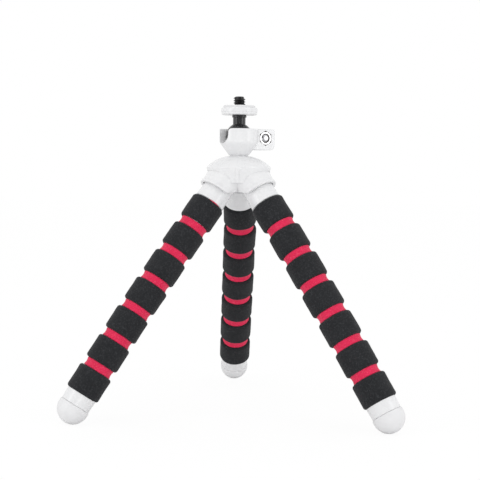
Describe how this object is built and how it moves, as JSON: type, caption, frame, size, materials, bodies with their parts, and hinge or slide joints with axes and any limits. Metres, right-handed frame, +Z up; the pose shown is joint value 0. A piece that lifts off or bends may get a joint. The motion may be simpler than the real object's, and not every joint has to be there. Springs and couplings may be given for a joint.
{
  "type": "camera tripod",
  "caption": "Pocket camera tripod with a ball head, a lockable rest for the camera and bendable foam-covered legs ending in round rubber feet.",
  "frame": {"origin": "centre of the seat that the camera's base rests on, on the camera screw's axis", "axes": "+Z up along the camera screw, +Y towards the back leg, +X towards the right leg, -Y towards the two front legs"},
  "size_m": [0.1756, 0.1602, 0.1696],
  "materials": {
    "white_plastic": "smooth moulded gloss, warm white",
    "foot_rubber": "smooth satin white rubber",
    "collar_foam": "black closed-cell foam, matt and finely speckled",
    "sleeve_foam": "crimson closed-cell foam, matt",
    "black_gloss": "black gloss enamel",
    "black_steel": "blackened steel, semi-gloss",
    "nut_chrome": "bright plated",
    "bolt_steel": "zinc-plated steel",
    "core_wire": "drawn soft aluminium"
  },
  "bodies": {
    "hub": {"hub_cap": "white_plastic", "hub_body": "white_plastic", "head_bolt": "bolt_steel", "ball_socket": "white_plastic", "clamp_nut": "nut_chrome", "core_wires": "core_wire", "ferrule_left": "white_plastic", "ferrule_back": "white_plastic", "ferrule_right": "white_plastic", "collar_left_1": "collar_foam", "collar_back_1": "collar_foam", "collar_right_1": "collar_foam"},
    "ball": {"ball_stud": "black_gloss", "camera_screw": "black_steel"},
    "pad": {"camera_pad": "white_plastic"},
    "wheel": {"lock_wheel": "white_plastic"},
    "clamp": {"clamp_bolt": "bolt_steel", "clamp_knob": "white_plastic"},
    "left_2": {"collar_left_2": "collar_foam", "sleeve_left_2": "sleeve_foam"},
    "left_3": {"collar_left_3": "collar_foam", "sleeve_left_3": "sleeve_foam"},
    "left_4": {"collar_left_4": "collar_foam", "sleeve_left_4": "sleeve_foam"},
    "left_5": {"collar_left_5": "collar_foam", "sleeve_left_5": "sleeve_foam"},
    "left_6": {"collar_left_6": "collar_foam", "sleeve_left_6": "sleeve_foam"},
    "left_7": {"collar_left_7": "collar_foam", "sleeve_left_7": "sleeve_foam", "foot_plug_left": "white_plastic", "foot_cap_left": "foot_rubber"},
    "back_2": {"collar_back_2": "collar_foam", "sleeve_back_2": "sleeve_foam"},
    "back_3": {"collar_back_3": "collar_foam", "sleeve_back_3": "sleeve_foam"},
    "back_4": {"collar_back_4": "collar_foam", "sleeve_back_4": "sleeve_foam"},
    "back_5": {"collar_back_5": "collar_foam", "sleeve_back_5": "sleeve_foam"},
    "back_6": {"collar_back_6": "collar_foam", "sleeve_back_6": "sleeve_foam"},
    "back_7": {"collar_back_7": "collar_foam", "sleeve_back_7": "sleeve_foam", "foot_plug_back": "white_plastic", "foot_cap_back": "foot_rubber"},
    "right_2": {"collar_right_2": "collar_foam", "sleeve_right_2": "sleeve_foam"},
    "right_3": {"collar_right_3": "collar_foam", "sleeve_right_3": "sleeve_foam"},
    "right_4": {"collar_right_4": "collar_foam", "sleeve_right_4": "sleeve_foam"},
    "right_5": {"collar_right_5": "collar_foam", "sleeve_right_5": "sleeve_foam"},
    "right_6": {"collar_right_6": "collar_foam", "sleeve_right_6": "sleeve_foam"},
    "right_7": {"collar_right_7": "collar_foam", "sleeve_right_7": "sleeve_foam", "foot_plug_right": "white_plastic", "foot_cap_right": "foot_rubber"}
  },
  "joints": [
    {"name": "ball_tilt", "type": "hinge", "parent": "hub", "child": "ball", "pos_m": [0, 0, -0.01635], "axis": [0.4695, -0.8829, 0], "range_deg": [-20, 90]},
    {"name": "pad_slide", "type": "slide", "parent": "ball", "child": "pad", "axis": [0, 0, 1], "range_m": [0, 0.00381]},
    {"name": "wheel_turn", "type": "hinge", "parent": "pad", "child": "wheel", "pos_m": [0, 0, -0.0031], "axis": [0, 0, 1], "range_deg": [0, 1080]},
    {"name": "clamp_turn", "type": "hinge", "parent": "hub", "child": "clamp", "pos_m": [0.01192, 0.00634, -0.0172], "axis": [0.4695, -0.8829, 0], "range_deg": [-720, 0]},
    {"name": "left_bend_1", "type": "hinge", "parent": "hub", "child": "left_2", "pos_m": [-0.02422, -0.01245, -0.06477], "axis": [-0.4571, 0.8894, 0], "range_deg": [-24, 24], "deforming": ["core_wires"]},
    {"name": "left_bend_2", "type": "hinge", "parent": "left_2", "child": "left_3", "pos_m": [-0.03378, -0.0168, -0.07898], "axis": [-0.7157, -0.3678, 0.5937], "range_deg": [-24, 24], "deforming": ["core_wires"]},
    {"name": "left_bend_3", "type": "hinge", "parent": "left_3", "child": "left_4", "pos_m": [-0.04322, -0.0211, -0.09328], "axis": [-0.4422, 0.8966, 0.0225], "range_deg": [-24, 24], "deforming": ["core_wires"]},
    {"name": "left_bend_4", "type": "hinge", "parent": "left_4", "child": "left_5", "pos_m": [-0.05256, -0.02535, -0.10767], "axis": [-0.7247, -0.3719, 0.5801], "range_deg": [-24, 24], "deforming": ["core_wires"]},
    {"name": "left_bend_5", "type": "hinge", "parent": "left_5", "child": "left_6", "pos_m": [-0.06179, -0.02954, -0.12214], "axis": [-0.4422, 0.8966, 0.0225], "range_deg": [-24, 24], "deforming": ["core_wires"]},
    {"name": "left_bend_6", "type": "hinge", "parent": "left_6", "child": "left_7", "pos_m": [-0.07092, -0.03367, -0.1367], "axis": [-0.7334, -0.3759, 0.5664], "range_deg": [-24, 24], "deforming": ["core_wires"]},
    {"name": "back_bend_1", "type": "hinge", "parent": "hub", "child": "back_2", "pos_m": [0.00133, 0.0272, -0.06477], "axis": [0.9988, -0.0489, 0], "range_deg": [-24, 24], "deforming": ["core_wires"]},
    {"name": "back_bend_2", "type": "hinge", "parent": "back_2", "child": "back_3", "pos_m": [0.001, 0.03771, -0.07897], "axis": [0.0393, 0.8037, 0.5937], "range_deg": [-24, 24], "deforming": ["core_wires"]},
    {"name": "back_bend_3", "type": "hinge", "parent": "back_3", "child": "back_4", "pos_m": [0.00065, 0.0481, -0.09326], "axis": [0.999, -0.0203, -0.0386], "range_deg": [-24, 24], "deforming": ["core_wires"]},
    {"name": "back_bend_4", "type": "hinge", "parent": "back_4", "child": "back_5", "pos_m": [0.00031, 0.05837, -0.10764], "axis": [0.039, 0.8136, 0.5801], "range_deg": [-24, 24], "deforming": ["core_wires"]},
    {"name": "back_bend_5", "type": "hinge", "parent": "back_5", "child": "back_6", "pos_m": [-0.00004, 0.06851, -0.1221], "axis": [0.999, -0.0203, -0.0386], "range_deg": [-24, 24], "deforming": ["core_wires"]},
    {"name": "back_bend_6", "type": "hinge", "parent": "back_6", "child": "back_7", "pos_m": [-0.0004, 0.07854, -0.13664], "axis": [0.0387, 0.8232, 0.5664], "range_deg": [-24, 24], "deforming": ["core_wires"]},
    {"name": "right_bend_1", "type": "hinge", "parent": "hub", "child": "right_2", "pos_m": [0.02289, -0.01475, -0.06477], "axis": [-0.5417, -0.8406, 0], "range_deg": [-24, 24], "deforming": ["core_wires"]},
    {"name": "right_bend_2", "type": "hinge", "parent": "right_2", "child": "right_3", "pos_m": [0.03151, -0.02075, -0.07898], "axis": [0.6764, -0.4359, 0.5937], "range_deg": [-24, 24], "deforming": ["core_wires"]},
    {"name": "right_bend_3", "type": "hinge", "parent": "right_3", "child": "right_4", "pos_m": [0.04002, -0.02667, -0.09329], "axis": [-0.552, -0.8336, 0.0169], "range_deg": [-24, 24], "deforming": ["core_wires"]},
    {"name": "right_bend_4", "type": "hinge", "parent": "right_4", "child": "right_5", "pos_m": [0.04844, -0.03254, -0.10768], "axis": [0.6845, -0.4415, 0.5801], "range_deg": [-24, 24], "deforming": ["core_wires"]},
    {"name": "right_bend_5", "type": "hinge", "parent": "right_5", "child": "right_6", "pos_m": [0.05675, -0.03833, -0.12215], "axis": [-0.552, -0.8336, 0.0169], "range_deg": [-24, 24], "deforming": ["core_wires"]},
    {"name": "right_bend_6", "type": "hinge", "parent": "right_6", "child": "right_7", "pos_m": [0.06496, -0.04407, -0.13671], "axis": [0.6923, -0.447, 0.5664], "range_deg": [-24, 24], "deforming": ["core_wires"]}
  ],
  "couplings": [
    {"joint": "wheel_turn", "follows": "pad_slide", "rad_per_m": 4947.4}
  ]
}
